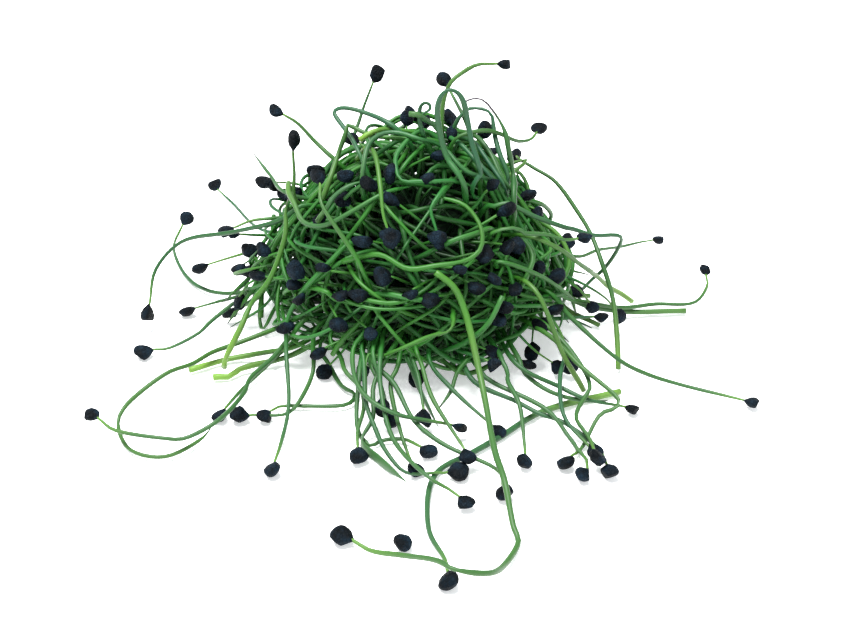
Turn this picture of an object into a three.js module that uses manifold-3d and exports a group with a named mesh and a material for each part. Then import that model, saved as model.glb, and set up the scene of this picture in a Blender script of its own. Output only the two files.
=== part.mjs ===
// Onion microgreens: a heap of cut sprouts, each a thin green stem that ends in its black seed coat.
// Millimetres. The floor is z = 0, and the side that the photograph shows faces -Y.
import * as THREE from 'three';
import Module from 'manifold-3d';

const wasm = await Module();
wasm.setup();

// Driving dimensions
const HEAP_CENTRE = [0, 2, 10];
const HEAP_LEFT = 28.5;
const HEAP_RIGHT = 23.5;
const HEAP_FRONT = 24.5;
const HEAP_BACK = 20;
const HEAP_HIGH = 23.5;
const HEAP_LOW = 13;
const HEAP_TAPER = 0.5;
const CORE_CENTRE = [0, 0, 5];
const CORE_HALF = [18, 15, 20];
const CORE_LUMP = 1.6;
const FOOT_REACH = 17;
const FOOT_HIGH = 1;
const CUT_RADIUS = 0.62;
const TIP_RADIUS = 0.42;
const SEED_LONG = 3.1;
const SEED_WIDE = 2.7;
const SEED_DEEP = 2.0;
const SEED_OFF = 0.36;
const SEED_REST = 1.4;
const SEED_FOOT = 0.25;
const GAP = 0.35;
const LAID = 0.85;

// How finely the repeats are cut
const SPROUT_SIDES = 4;
const WRAP_SIDES = 3;
const STRAIGHT_ENOUGH = 0.37;
const WRAPS = 30;
const REAR_ARMS = 7;
const REAR_CUT = 3;
const WRAP_ROW = 100;
const REAR_ROW = 556;
const SEED_ROW = 800;

const GREEN = 0x3f8f3a;
const BLACK = 0x14161c;

// Sprouts that lie apart from the bunch: each is a piece of its own
const APART = {
  lean: { path: [[1.5, -21, 21], [4, -21.5, 19], [5.5, -22, 16], [8, -29, 8], [9.5, -42, 5],
    [10.5, -47.5, 4.5], [11.5, -53.5, 1.5], [12, -55, 1], [10, -60, 1.5], [7.5, -64.5, 4.2],
    [3.5, -65.5, 5.8], [1.5, -63.5, 5.3], [-3, -59.5, 2.5], [-7, -57, 1]],
    seed: [-10.5, -54.5, SEED_REST] },
  cross: { path: [[29.5, -22, LAID], [17.5, -27, LAID], [10.5, -33.5, LAID], [6.5, -37, LAID],
    [1.5, -41.5, LAID], [0.5, -53, LAID], [2.5, -58.5, LAID]], seed: [3, -62.5, SEED_REST] },
  fall: { path: [[30, -16, LAID], [30, -13, 4], [29.5, -8, 9], [28, -4, 13], [26.5, 0, 16],
    [24.5, 3, 18.5], [21, 7, 22], [18, 9.5, 23], [15.5, 11, 24]], seed: [15, 15, 23] },
  twin: { path: [[-14, -19, 5.5], [-12.5, -19, 8], [-8, -18.5, 14], [-9.5, -18.5, 21],
    [-15, -14, 28.5], [-15.5, -11.5, 29.5]], seed: [-15.5, -9.5, 30.5] },
  pale: { path: [[-31, -16.5, 1.6], [-30.5, -17.5, 3.8], [-28, -16, 8.5], [-26.5, -13, 11],
    [-23.5, -12.5, 15], [-21, -10, 21.5], [-21, -8, 24.5], [-20.5, -7.5, 26]] },
};

// Sprouts of the bunch that stand out of it, from the thick end to the thin one
const BUNCH = {
  long_right: { path: [[8, -4, 12], [19, -11.5, 12], [21.5, -13, 9.5], [29.5, -19, 4.5],
    [34, -19.5, 2.2], [39, -20.5, 1], [45.5, -23.5, 1]], seed: [48.5, -25.5, SEED_REST] },
  hook: { path: [[8, 3, 10], [20, -7.5, 10], [23.5, -4.5, 6.5], [33, -0.5, 2.5], [38.5, 1.5, 2],
    [45, 2, 2], [48, 6.5, 3]], seed: [48, 9.5, 4] },
  cut_right: { path: [[43.5, 1, 1], [33, 0, 1.5], [29, -1.5, 3], [25, -3, 5], [12, 6, 6]] },
  loop: { path: [[-6, -2, 9], [-19.5, -11, 7], [-23, -10.5, 5], [-29.5, -12, 3], [-33, -14.5, 3],
    [-35.5, -18.5, 3.5], [-38.5, -21.5, 4], [-42.5, -26, 3], [-44, -29, 2.5], [-44.5, -30.5, 1.5],
    [-41.5, -36.5, 1], [-36.5, -38, 1], [-32, -34, 1], [-31, -31.5, 1]] },
  far_left: { path: [[-8, -6, 8], [-18, -12.5, 8], [-21, -14.5, 5.5], [-23, -18, 4.5], [-26, -23, 4],
    [-26.5, -27.5, 4.3], [-29.5, -34.5, 4.4], [-34, -36.5, 3], [-36.5, -37, 3.5], [-44, -35, 3.5]],
    seed: [-47.5, -32, 4] },
  left_seed: { path: [[-12, 4, 8], [-26, -3.5, 8], [-30.5, -2.5, 5], [-34.5, -6.5, 3.5], [-36, -9, 3],
    [-41, -10.5, 1]], seed: [-44.5, -11.5, SEED_REST] },
  left_arch: { path: [[-8, 2, 16], [-18.5, -4.5, 23.5], [-22, -5.5, 21.5], [-30, -2, 17.5],
    [-40, 2.5, 13], [-44, 0.5, 9], [-45.5, -2.5, 5]], seed: [-45, -4, 3.5] },
  back_curl: { path: [[-14, 6, 6], [-33, 5, 2], [-39, 9, 1], [-43, 15, 1], [-45, 20, 3]],
    seed: [-43, 23, 7] },
  far_back: { path: [[-12, 14, 12], [-29, 22, 5], [-35, 27, 8], [-37, 30, 10]], seed: [-39, 32, 9] },
  top_left: { path: [[-4, 4, 18], [-14, 2, 28], [-17, 4, 30], [-20, 5, 33]], seed: [-23, 5, 35] },
  up_left: { path: [[-10, 2, 16], [-20, -4, 24], [-20, -3, 28]], seed: [-20, -2, 33] },
  up_back: { path: [[-5, 7, 17], [-12, 10, 24], [-10.5, 15, 30], [-9.5, 17, 34]], seed: [-8, 18, 36] },
  kinked: { path: [[2, 2, 18], [-4, -2, 34.5], [-9.5, 2, 36], [-13, 3.5, 36], [-14, 3.5, 35.4],
    [-13.8, 3, 35], [-11, -1, 32.7], [-9.5, -4, 31], [-4, -6, 16]] },
  up_seed: { path: [[9, -4, 17], [8, -6, 31], [7, -3, 33.6], [6, 0, 35.5], [4, 4, 38.3]],
    seed: [3, 5, 40] },
  high_right: { path: [[5, 2, 18], [2.5, 0, 34], [3, 1, 39], [4, 1, 41.3], [5.5, 2, 42.2],
    [7.7, 2, 43.5]], seed: [12, 4, 43] },
  hairpin: { path: [[6, -4, 16], [5.5, -11, 30.5], [3.2, -9, 33.5], [2, -8, 38], [1.8, -8, 41],
    [2.6, -8, 43], [3.6, -8, 43.5], [4.7, -8, 43], [5.5, -8, 41.7], [6.1, -8, 39], [6.8, -9, 35.7],
    [8.2, -10, 31], [8, -4, 16]] },
  dark_arch: { path: [[12, -3, 16], [13.3, -10, 24.6], [13.1, -8.7, 27.4], [13, -5, 29],
    [12.4, -5, 33], [12, -4, 35], [11.2, -3, 36.5], [10, -2, 38], [8.9, -2, 39.3], [7.9, -2, 39.8],
    [6.8, -2, 39.7], [5.6, -3, 39.4]] },
  second_arch: { path: [[10, -2, 17], [12.6, -6, 28.5], [11.4, -4, 31.6], [10.5, -1, 34.8],
    [10.2, 0, 36.2], [9.5, 0, 37], [7.8, 1, 37], [6.2, 0, 37], [4, 0, 33], [3, 0, 18]] },
  right_top: { path: [[4, 2, 18], [4.5, -4, 34], [8.6, -3, 35], [11, -2, 34], [13.4, -1, 32.6],
    [15.1, 1, 31.6], [16.4, 2, 31.5]], seed: [18, 5, 32] },
  shoulder: { path: [[8, -5, 16], [10.5, -15, 24], [17.5, -13, 22.5], [20.5, -12.5, 21.5]],
    seed: [24, -10.5, 21] },
  knee_right: { path: [[6, -5, 17], [10.5, -10, 27], [17, -10, 24], [26, -7, 19.5], [29, -5, 18.5],
    [30.5, -4.5, 18], [29.5, 1.5, 9], [27.5, 2.5, 6], [25.5, 1.5, 4.5], [14, -2, 5]] },
  left_fall: { path: [[-2, -6, 16], [-11, -14, 22], [-12, -14.5, 21.5], [-15, -16, 18.5],
    [-20.5, -15.5, 10.5], [-21, -18, 6], [-20, -27.5, 2], [-20.5, -35, 1]],
    seed: [-21, -41, SEED_REST] },
  big_seed: { path: [[4, -10, 8], [7, -25, 5], [13.5, -28, 3.5], [17, -30.5, 3], [19.5, -31.5, 2.5],
    [24.5, -36.5, 1]], seed: [25.5, -41.5, SEED_REST] },
  low_right: { path: [[10, -10, 7], [14, -23, 6], [20, -25, 3.5], [23.5, -27, 3], [28, -27.5, 1.5]],
    seed: [30.5, -27, SEED_REST] },
  second: { path: [[4, -8, 7], [8, -23.5, 6], [9.5, -25, 5], [18, -31, 3.2], [20.5, -34.5, 1.5],
    [21.5, -37.5, 1]], seed: [21.5, -42, SEED_REST] },
  stand: { path: [[14, -12, 8], [19, -18, 8], [22, -23, 7], [28, -29.5, 4.5], [27.5, -30.5, 4],
    [25.5, -30.5, 3], [22, -36, 1]], seed: [19.5, -39.5, SEED_REST] },
  front_left: { path: [[-6, -8, 9], [-6.5, -25, 8.5], [-6.5, -27.5, 7], [-4.5, -37, 3.5],
    [1, -45.5, 3], [3, -46, 2]], seed: [5.5, -48, SEED_REST] },
  low_left: { path: [[-8, -8, 8], [-18.5, -12, 5], [-21.5, -13, 3], [-25, -17, 1.5], [-28, -22.5, 1]],
    seed: [-30, -28.5, SEED_REST] },
  knee_left: { path: [[-8, -8, 8], [-16.5, -14, 4], [-15, -15.5, 1.5], [-12.5, -21, 1],
    [-10.5, -23, 1], [-11.5, -25.5, 1], [-21.5, -26, 1]], seed: [-23.5, -28.5, SEED_REST] },
  leaf: { path: [[-2, -8, 9], [-3.5, -19, 9], [-5.5, -23, 8], [-7.5, -27, 5.5], [-7.5, -31.5, 3],
    [-9, -34.5, 1], [-6.5, -38.5, 1], [-2.5, -43.5, 1]] },
  leaf_two: { path: [[-1, -10, 8], [-3, -20.5, 7], [-2, -22.5, 5.5], [-0.5, -27, 4], [2, -32, 1.5]] },
  cut_left: { path: [[-36.5, -16.5, 1], [-31, -13.5, 1], [-27, -13, 1.5], [-20.5, -14.5, 3.5],
    [-10, -4, 6]] },
  cut_left_two: { path: [[-32.5, -18.5, 1], [-27, -16, 1.5], [-21, -14, 2.5], [-18, -14, 4],
    [-8, -8, 6]] },
  drop: { path: [[6, -10, 8], [11, -20.5, 7], [12, -26.5, 6], [13.5, -31, 5], [14, -36, 2]],
    seed: [14, -39.5, SEED_REST] },
  far_right: { path: [[12, 8, 8], [21.5, 4.5, 10], [26, 7, 8], [29.5, 11, 7], [34.5, 16, 5],
    [38.5, 19.5, 4]], seed: [42, 21.5, 3.5] },
  cut_shoulder: { path: [[35, 4, 1], [33, 3, 3], [30.5, 1, 5.5], [27.5, -3, 10], [23.5, -10.5, 16.5],
    [17, -13, 22.5], [6, -2, 16]] },
  olive: { path: [[24, -22, 1], [20, -22, 9], [16, -19, 17], [10, -8, 14]] },
  curly: { path: [[4, -10, 14], [3.5, -25.5, 14], [1, -24.5, 12.5], [-4, -24.5, 10], [-7, -23.5, 8.5],
    [-8, -23, 8.5], [-8.5, -24.5, 7.5], [-8, -25, 7.5]] },
  back_thin: { path: [[-6, 4, 17], [-21, -2, 24], [-25, 7, 23], [-28, 11, 25]] },
  crinkled: { path: [[-14, 2, 7], [-24, -2, 9], [-28, 0, 5.5], [-37, 1.5, 1.5]],
    seed: [-39.5, 0.5, SEED_REST] },
};

// Seed coats on the heap's skin, each on a short stem out of the bunch, and one that lies alone
const PERCHED = {
  crown_left: [-12, -8, 30], crown_mid: [-8, -11, 30], crown_right: [10, -9, 29],
  crown_back: [-2, 6, 34], peak: [4, 9, 32], cheek: [-12, -19.5, 16.5], face_left: [-5, -17, 25],
  face_right: [2, -18, 25], brow: [12, -15, 22], chin: [10, -25, 8], hip: [28, -8, 5.5],
  side_left: [-31, 2, 15], rear_left: [-14, 19, 18], rear_right: [12, 19, 17],
  rear_low: [1, 24, 11],
};
const LONE_SEED = [-2.5, -56, SEED_REST];

// The same row of draws for the same number, so that every build places the repeats alike
function drawsFrom(number) {
  let state = Math.imul(number, 2654435761) >>> 0;
  return (low = 0, high = 1) => {
    state ^= state << 13;
    state ^= state >>> 17;
    state = (state ^ (state << 5)) >>> 0;
    return low + (high - low) * (state / 4294967296);
  };
}

const at = (list) => new THREE.Vector3(...list);

// A point over the heap: where a direction from its centre meets a share of its skin. The heap is
// longer to the left and in front, narrower toward the top, and drawn in toward the floor.
function onHeap(direction, share) {
  const half = new THREE.Vector3(direction.x > 0 ? HEAP_RIGHT : HEAP_LEFT,
    direction.y < 0 ? HEAP_FRONT : HEAP_BACK, direction.z < 0 ? HEAP_LOW : HEAP_HIGH);
  half.x *= 1 - HEAP_TAPER * Math.max(direction.z, 0);
  const place = direction.clone().multiply(half).multiplyScalar(share).add(at(HEAP_CENTRE));
  place.z = Math.max(place.z, LAID);
  return place;
}

const bearing = (turn, rise) => new THREE.Vector3(
  Math.cos(turn) * Math.cos(rise), Math.sin(turn) * Math.cos(rise), Math.sin(rise));

// A stem that wraps the heap: it leaves the core, runs along the skin and dives in again
function wrapPath(number) {
  const draw = drawsFrom(WRAP_ROW + number);
  const height = (number + draw()) / WRAPS;
  const top = bearing(number * 2.39996, Math.asin(height));
  const level = new THREE.Vector3(-top.y, top.x, 0).normalize();
  const climb = level.clone().cross(top).negate();
  const slant = draw(-1, 1) * (0.6 + height + 0.6 * Math.abs(top.x));
  const heading = level.multiplyScalar(Math.cos(slant)).addScaledVector(climb, Math.sin(slant));
  const axis = top.clone().cross(heading).normalize();
  const span = draw(0.7, 1.15);
  const skin = draw(0.88, 1.03);
  const sway = draw(-0.3, 0.3);
  return [-1, -0.66, -0.33, 0, 0.33, 0.66, 1].map((along) => {
    const direction = top.clone().applyAxisAngle(axis, along * span);
    direction.addScaledVector(axis, sway * Math.sin(along * 3)).normalize();
    return onHeap(direction, skin - (skin - 0.55) * along ** 4);
  });
}

// An arm at the side that the photograph hides: out of the core, over the floor and round
function rearArm(number) {
  const draw = drawsFrom(REAR_ROW + number);
  const turn = (74 + 6.5 * number + draw(-5, 5)) * Math.PI / 180;
  const swing = draw(-0.3, 0.3);
  const reach = draw(35, 47);
  const out = (radius, share, height) => new THREE.Vector3(
    radius * Math.cos(turn + swing * share), 4 + radius * Math.sin(turn + swing * share), height);
  const high = draw(5, 17);
  const path = [out(9, 0, 8), out(24, 0, high), out(30, 0.2, high * 0.4 + 1),
    out(reach - 4, 0.8, 1.2)];
  const seed = out(reach, 1.15, SEED_REST);
  return number % 4 === REAR_CUT ? { path: path.reverse() } : { path, seed };
}

// The short stem under a perched seed coat
function perchPath(seat) {
  const inward = at(CORE_CENTRE).sub(seat);
  const aside = new THREE.Vector3(-inward.y, inward.x, 4).normalize();
  return [seat.clone().addScaledVector(inward, 0.6).addScaledVector(aside, 3),
    seat.clone().addScaledVector(inward, 0.3).addScaledVector(aside, 4)];
}

// A smooth line through the points, which stops short of the seed coat
function centreline(sprout) {
  const points = sprout.path.map((p) => (p.isVector3 ? p.clone() : at(p)));
  if (sprout.seed) {
    const near = SEED_LONG / 2 + GAP;
    while (points.at(-1).distanceTo(sprout.seed) < near + 1.2) points.pop();
    const back = points.at(-1).clone().sub(sprout.seed).normalize();
    points.push(sprout.seed.clone().addScaledVector(back, near));
  }
  const curve = new THREE.CatmullRomCurve3(points, false, 'centripetal');
  const line = curve.getSpacedPoints(Math.ceil(curve.getLength() / 1.1));
  line.forEach((p) => { p.z = Math.max(p.z, LAID); });
  return line;
}

// Stems of the bunch bend clear of what they would cross
function keepClear(line, obstacles) {
  for (let pass = 0; pass < 3; pass += 1) {
    for (const p of line) {
      for (const { centre, reach } of obstacles) {
        const distance = p.distanceTo(centre);
        if (distance < reach) p.sub(centre).multiplyScalar(reach / distance).add(centre);
      }
      p.z = Math.max(p.z, LAID);
    }
  }
}

// Leaves out the points between which a line is straight enough
function thinned(line) {
  const [first, last] = [line[0], line.at(-1)];
  const chord = new THREE.Line3(first, last);
  const off = line.map((p) => p.distanceTo(chord.closestPointToPoint(p, true, new THREE.Vector3())));
  const worst = off.indexOf(Math.max(...off));
  if (off[worst] < STRAIGHT_ENOUGH || line.length < 3) return [first, last];
  return [...thinned(line.slice(0, worst + 1)), ...thinned(line.slice(worst)).slice(1)];
}

// A closed solid from rings of points, each ring joined to the next, with a flat end on the outer two
function solidFromRings(rings) {
  const sides = rings[0].length;
  const triangles = [];
  for (let r = 0; r + 1 < rings.length; r += 1) {
    for (let s = 0; s < sides; s += 1) {
      const [a, b] = [r * sides + s, r * sides + (s + 1) % sides];
      triangles.push(a, b, b + sides, a, b + sides, a + sides);
    }
  }
  const last = (rings.length - 1) * sides;
  for (let s = 1; s + 1 < sides; s += 1) triangles.push(0, s + 1, s, last, last + s, last + s + 1);
  return new wasm.Manifold(new wasm.Mesh({
    numProp: 3,
    vertProperties: new Float32Array(rings.flat().flatMap((p) => p.toArray())),
    triVerts: new Uint32Array(triangles),
  }));
}

// A stem of few sides along a line, thinner toward its tip
function stemSolid(line, sides) {
  const fuller = Math.sqrt((2 * Math.PI / sides) / Math.sin(2 * Math.PI / sides));
  const way = line.map((p, i) => (line[i + 1] ?? p).clone().sub(line[i - 1] ?? p).normalize());
  let up = new THREE.Vector3(0.3, 0.2, 1).cross(way[0]).normalize();
  const rings = line.map((p, i) => {
    up = up.clone().addScaledVector(way[i], -up.dot(way[i])).normalize();
    const side = way[i].clone().cross(up);
    const radius = fuller * THREE.MathUtils.lerp(CUT_RADIUS, TIP_RADIUS, i / (line.length - 1));
    return Array.from({ length: sides }, (_, s) => {
      const turn = ((s + 0.5) * 2 * Math.PI) / sides;
      return p.clone().addScaledVector(up, radius * Math.cos(turn))
        .addScaledVector(side, radius * Math.sin(turn));
    });
  });
  return solidFromRings(rings);
}

// A seed coat: a beak where the stem enters, and a flattened body that lies to one side of it
function seedSolid(centre, direction, number) {
  const draw = drawsFrom(SEED_ROW + number);
  const side = new THREE.Vector3(draw(-1, 1), draw(-1, 1), 1.2).cross(direction).normalize();
  const over = side.clone().cross(direction);
  const size = draw(0.8, 1.12);
  const off = (draw() < 0.5 ? -1 : 1) * draw(0.3, 1) * SEED_OFF;
  const rings = [[-0.5, 0.12], [-0.34, 0.5], [-0.08, 1], [0.22, 0.96], [0.46, 0.5]];
  return solidFromRings(rings.map(([along, wide]) => Array.from({ length: 7 }, (_, s) => {
    const turn = (s * 2 * Math.PI) / 7;
    const flat = Math.cos(turn) < -0.5 ? 0.6 : 1;
    const across = Math.sin(turn) * wide + off * Math.cos(Math.PI * along);
    const place = centre.clone().addScaledVector(direction, along * SEED_LONG * size)
      .addScaledVector(side, (across * size * SEED_WIDE) / 2)
      .addScaledVector(over, (Math.cos(turn) * flat * wide * size * SEED_DEEP) / 2);
    place.z = Math.max(place.z, SEED_FOOT);
    return place;
  })));
}

// The packed inside of the heap, lumpy, on a flat foot with three corners that stands steady
function coreSolid() {
  const rings = [-0.5, -0.28, 0, 0.3, 0.58, 0.82, 0.97].map((rise) => {
    const width = Math.sqrt(1 - rise * rise);
    return Array.from({ length: 22 }, (_, s) => {
      const turn = (s * 2 * Math.PI) / 22;
      const lump = CORE_LUMP * Math.sin(3 * turn + 4 * rise) * Math.cos(5 * turn - 3 * rise);
      return new THREE.Vector3((CORE_HALF[0] + lump) * width * Math.cos(turn),
        (CORE_HALF[1] + lump) * width * Math.sin(turn), CORE_HALF[2] * rise).add(at(CORE_CENTRE));
    });
  });
  const below = wasm.Manifold.cube([200, 200, 100], true).translate([0, 0, FOOT_HIGH - 50]);
  const foot = wasm.Manifold.cylinder(FOOT_HIGH * 3, FOOT_REACH, FOOT_REACH - FOOT_HIGH, 3);
  return solidFromRings(rings).subtract(below).add(foot);
}

// The biggest body of a union: sealed hollows are filled and loose scraps dropped
function onePiece(solids) {
  const bodies = wasm.Manifold.union(solids).decompose();
  return bodies.sort((a, b) => b.volume() - a.volume())[0];
}

function namedMesh(name, solid, colour) {
  const { vertProperties, triVerts } = solid.getMesh();
  const geometry = new THREE.BufferGeometry();
  geometry.setAttribute('position', new THREE.BufferAttribute(vertProperties, 3));
  geometry.setIndex(new THREE.BufferAttribute(triVerts, 1));
  geometry.computeVertexNormals();
  const mesh = new THREE.Mesh(geometry, new THREE.MeshStandardMaterial({ color: colour, roughness: 0.6 }));
  mesh.name = name;
  return mesh;
}

// Every sprout with a name and its points as vectors
function allSprouts() {
  const vectors = (table, apart) => Object.entries(table).map(([name, { path, seed }]) => (
    { name, apart, path, seed: seed && at(seed), sides: SPROUT_SIDES }));
  const rear = Array.from({ length: REAR_ARMS }, (_, i) => (
    { name: `rear_${i + 1}`, ...rearArm(i), sides: SPROUT_SIDES }));
  const perched = Object.entries(PERCHED).map(([name, seat]) => (
    { name, path: perchPath(at(seat)), seed: at(seat), sides: WRAP_SIDES }));
  const wraps = Array.from({ length: WRAPS }, (_, i) => (
    { name: `wrap_${i + 1}`, path: wrapPath(i), sides: WRAP_SIDES }));
  return [...vectors(APART, true), ...vectors(BUNCH, false), ...rear, ...perched, ...wraps];
}

const sprouts = allSprouts().map((sprout) => ({ ...sprout, line: centreline(sprout) }));
const seeds = sprouts.filter(({ seed }) => seed).map(({ name, seed, line }) => (
  { name, centre: seed, direction: seed.clone().sub(line.at(-1)).normalize() }));
seeds.push({ name: 'lone', centre: at(LONE_SEED), direction: bearing(-1.9, 0.1) });

const stemReach = 2.5 * CUT_RADIUS + GAP + 0.1;
const seedReach = SEED_LONG / 2 + 1.25 * CUT_RADIUS + GAP + 0.4;
const apartStems = sprouts.filter(({ apart }) => apart).flatMap(({ line }) => line)
  .map((centre) => ({ centre, reach: stemReach }));

const bunch = [coreSolid()];
const onion = new THREE.Group();
onion.name = 'onion_microgreens';
for (const { name, apart, line, sides } of sprouts) {
  if (apart) {
    onion.add(namedMesh(`stem_${name}`, stemSolid(thinned(line), sides), GREEN));
  } else {
    const others = seeds.filter((seed) => seed.name !== name)
      .map(({ centre }) => ({ centre, reach: seedReach }));
    keepClear(line, [...apartStems, ...others]);
    bunch.push(stemSolid(thinned(line), sides));
  }
}
onion.add(namedMesh('bunch', onePiece(bunch), GREEN));
seeds.forEach(({ name, centre, direction }, number) => {
  onion.add(namedMesh(`seed_${name}`, seedSolid(centre, direction, number), BLACK));
});

export default onion;
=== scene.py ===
# %% [markdown]
# # Onion microgreens
# This lesson dresses a heap of cut onion sprouts. Each sprout is one thin green stem, thick and
# pale where it was cut, and most still wear the black seed coat that they grew out of. The plain
# solids come packed from the modelling step and are loaded as a fixed frame, so that every piece
# made here lies where they lie.

# %% The frame
import math
import bpy
import numpy as np
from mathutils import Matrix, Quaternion, Vector, kdtree, noise


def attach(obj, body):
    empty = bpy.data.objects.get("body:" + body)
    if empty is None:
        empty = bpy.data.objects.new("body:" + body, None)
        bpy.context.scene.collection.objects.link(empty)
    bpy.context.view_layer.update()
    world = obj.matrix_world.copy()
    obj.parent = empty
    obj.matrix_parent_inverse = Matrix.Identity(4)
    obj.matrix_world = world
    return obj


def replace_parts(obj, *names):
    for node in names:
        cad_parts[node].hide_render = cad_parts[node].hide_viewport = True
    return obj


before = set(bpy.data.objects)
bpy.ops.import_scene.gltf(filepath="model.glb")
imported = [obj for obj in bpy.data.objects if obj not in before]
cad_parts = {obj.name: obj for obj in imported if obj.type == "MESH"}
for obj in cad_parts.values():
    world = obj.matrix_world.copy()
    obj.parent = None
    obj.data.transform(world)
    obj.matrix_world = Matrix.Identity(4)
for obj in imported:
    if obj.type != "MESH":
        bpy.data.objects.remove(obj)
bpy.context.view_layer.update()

MM = 0.001
nodes = sorted(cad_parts)
coats = sum(n.startswith("seed_") for n in nodes)


def put(name, points, faces, material):
    """A smooth mesh of one finish in the scene, from points in metres."""
    mesh = bpy.data.meshes.new(name)
    mesh.from_pydata(points, [], faces)
    mesh.shade_smooth()
    mesh.materials.append(material)
    made = bpy.data.objects.new(name, mesh)
    bpy.context.scene.collection.objects.link(made)
    return made


print(len(nodes), "solids in the frame,", coats, "of them seed coats")

# %% [markdown]
# ## The camera and the light
# The photograph looks down on the heap from close by, so the front seed coats are a third larger
# than the far ones. A near camera with a short tele lens gives the same. The floor is plain
# white. A sun lamp would give hard shadows, and the real picture has hardly any, so the light
# comes from two wide lamps and a pale sky.

# %% The camera
CAMERA_DOWN = math.radians(32)
CAMERA_AWAY = 205 * MM
LENS = 52.1

camera_data = bpy.data.cameras.new("camera")
camera_data.lens = LENS
camera_data.clip_start = 0.005
camera = bpy.data.objects.new("camera", camera_data)
camera.location = (0, -CAMERA_AWAY * math.cos(CAMERA_DOWN), CAMERA_AWAY * math.sin(CAMERA_DOWN))
camera.rotation_euler = (math.pi / 2 - CAMERA_DOWN, 0, 0)
bpy.context.scene.collection.objects.link(camera)
bpy.context.scene.camera = camera
print("camera", round(math.degrees(CAMERA_DOWN)), "degrees down,", round(CAMERA_AWAY / MM), "mm away")

# %% The lamps and the sky
SKY = (0.93, 0.97, 1.0, 1)
SKY_STRENGTH = 0.6


def lamp(name, place, size, power):
    """A square soft lamp that looks at the heap."""
    data = bpy.data.lights.new(name, "AREA")
    data.size, data.energy = size, power
    thing = bpy.data.objects.new(name, data)
    thing.location = place
    thing.rotation_euler = (-Vector(place)).to_track_quat("-Z", "Y").to_euler()
    bpy.context.scene.collection.objects.link(thing)


world = bpy.data.worlds.new("soft sky")
world.use_nodes = True
world.node_tree.nodes["Background"].inputs["Color"].default_value = SKY
world.node_tree.nodes["Background"].inputs["Strength"].default_value = SKY_STRENGTH
bpy.context.scene.world = world
lamp("high_lamp", (-0.12, -0.06, 0.6), 0.3, 10.5)
lamp("front_lamp", (0.35, -0.5, 0.3), 0.5, 1.0)
bpy.context.scene.view_settings.view_transform = "Standard"
print("two lamps and a pale sky")

# %% [markdown]
# ## Writing finishes as sums
# A finish is easier to read as arithmetic than as a picture of wires. The small class below
# wraps one output of a node, and adding or multiplying wrapped outputs adds the Math node that
# does it. Colours never go through a Math node, which would turn them grey: they have a Mix.

# %% A wrapped socket and a finish
class Wire:
    """One output of a node. Sums of wires become Math nodes."""

    def __init__(self, finish, socket):
        self.finish, self.socket = finish, socket

    def sum(self, operation, *values):
        return self.finish.node("ShaderNodeMath", {"operation": operation}, dict(enumerate(values)))

    def __add__(self, other):
        return self.sum("ADD", self, other)

    def __sub__(self, other):
        return self.sum("SUBTRACT", self, other)

    def __rsub__(self, other):
        return self.sum("SUBTRACT", other, self)

    def __mul__(self, other):
        return self.sum("MULTIPLY", self, other)

    __radd__, __rmul__ = __add__, __mul__

    def ramp(self, low, high):
        """0 below low and 1 above high, smooth between."""
        return self.finish.node("ShaderNodeMapRange", {"interpolation_type": "SMOOTHSTEP"},
                                {"Value": self, "From Min": low, "From Max": high})


class Finish:
    """A material whose one shader is the Principled one."""

    def __init__(self, name):
        self.material = bpy.data.materials.new(name)
        self.material.use_nodes = True
        self.tree = self.material.node_tree
        self.skin = self.tree.nodes["Principled BSDF"]

    def node(self, kind, settings=None, values=None, output=0):
        made = self.tree.nodes.new(kind)
        for key, value in (settings or {}).items():
            setattr(made, key, value)
        self.feed(made, values or {})
        return Wire(self, made.outputs[output])

    def feed(self, made, values):
        for key, value in values.items():
            if isinstance(value, Wire):
                self.tree.links.new(value.socket, made.inputs[key])
            else:
                made.inputs[key].default_value = value

    def blend(self, share, first, second):
        """The first colour where share is 0 and the second where it is 1."""
        return self.node("ShaderNodeMix", {"data_type": "RGBA"}, {0: share, 6: first, 7: second}, 2)

    def named(self, name, output=2):
        """A value that the mesh carries at each of its points."""
        return self.node("ShaderNodeAttribute", {"attribute_name": name}, {}, output)

    def grain(self, vector, scale, detail=3.0, rough=0.5):
        return self.node("ShaderNodeTexNoise", {}, {
            "Vector": vector, "Scale": scale, "Detail": detail, "Roughness": rough})

    def bumps(self, height, strength, distance):
        return self.node("ShaderNodeBump", {}, {
            "Height": height, "Strength": strength, "Distance": distance})


def rgb(red, painted_shade_green, blue):
    """A colour as seen on a screen, 0 to 255, turned into light."""
    return tuple(((c / 255 + 0.055) / 1.055) ** 2.4 for c in (red, painted_shade_green, blue)) + (1.0,)


print("finish helpers ready")

# %% [markdown]
# ## The floor
# It only has to be white and catch a faint shadow under the heap. Stronger lamps would whiten it
# too, but they would wash out the greens, so the floor glows a little by itself.

# %% The floor
FLOOR_HALF = 6.0

floor_finish = Finish("white_floor")
floor_finish.feed(floor_finish.skin, {"Base Color": rgb(252, 252, 252), "Roughness": 0.9,
                                      "Emission Color": rgb(252, 253, 255), "Emission Strength": 0.42})
corners = [(x * FLOOR_HALF, y * FLOOR_HALF, 0) for x, y in ((-1, -1), (1, -1), (1, 1), (-1, 1))]
floor = put("floor", corners, [(0, 1, 2, 3)], floor_finish.material)
print("floor", 2 * FLOOR_HALF, "m square")
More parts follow.
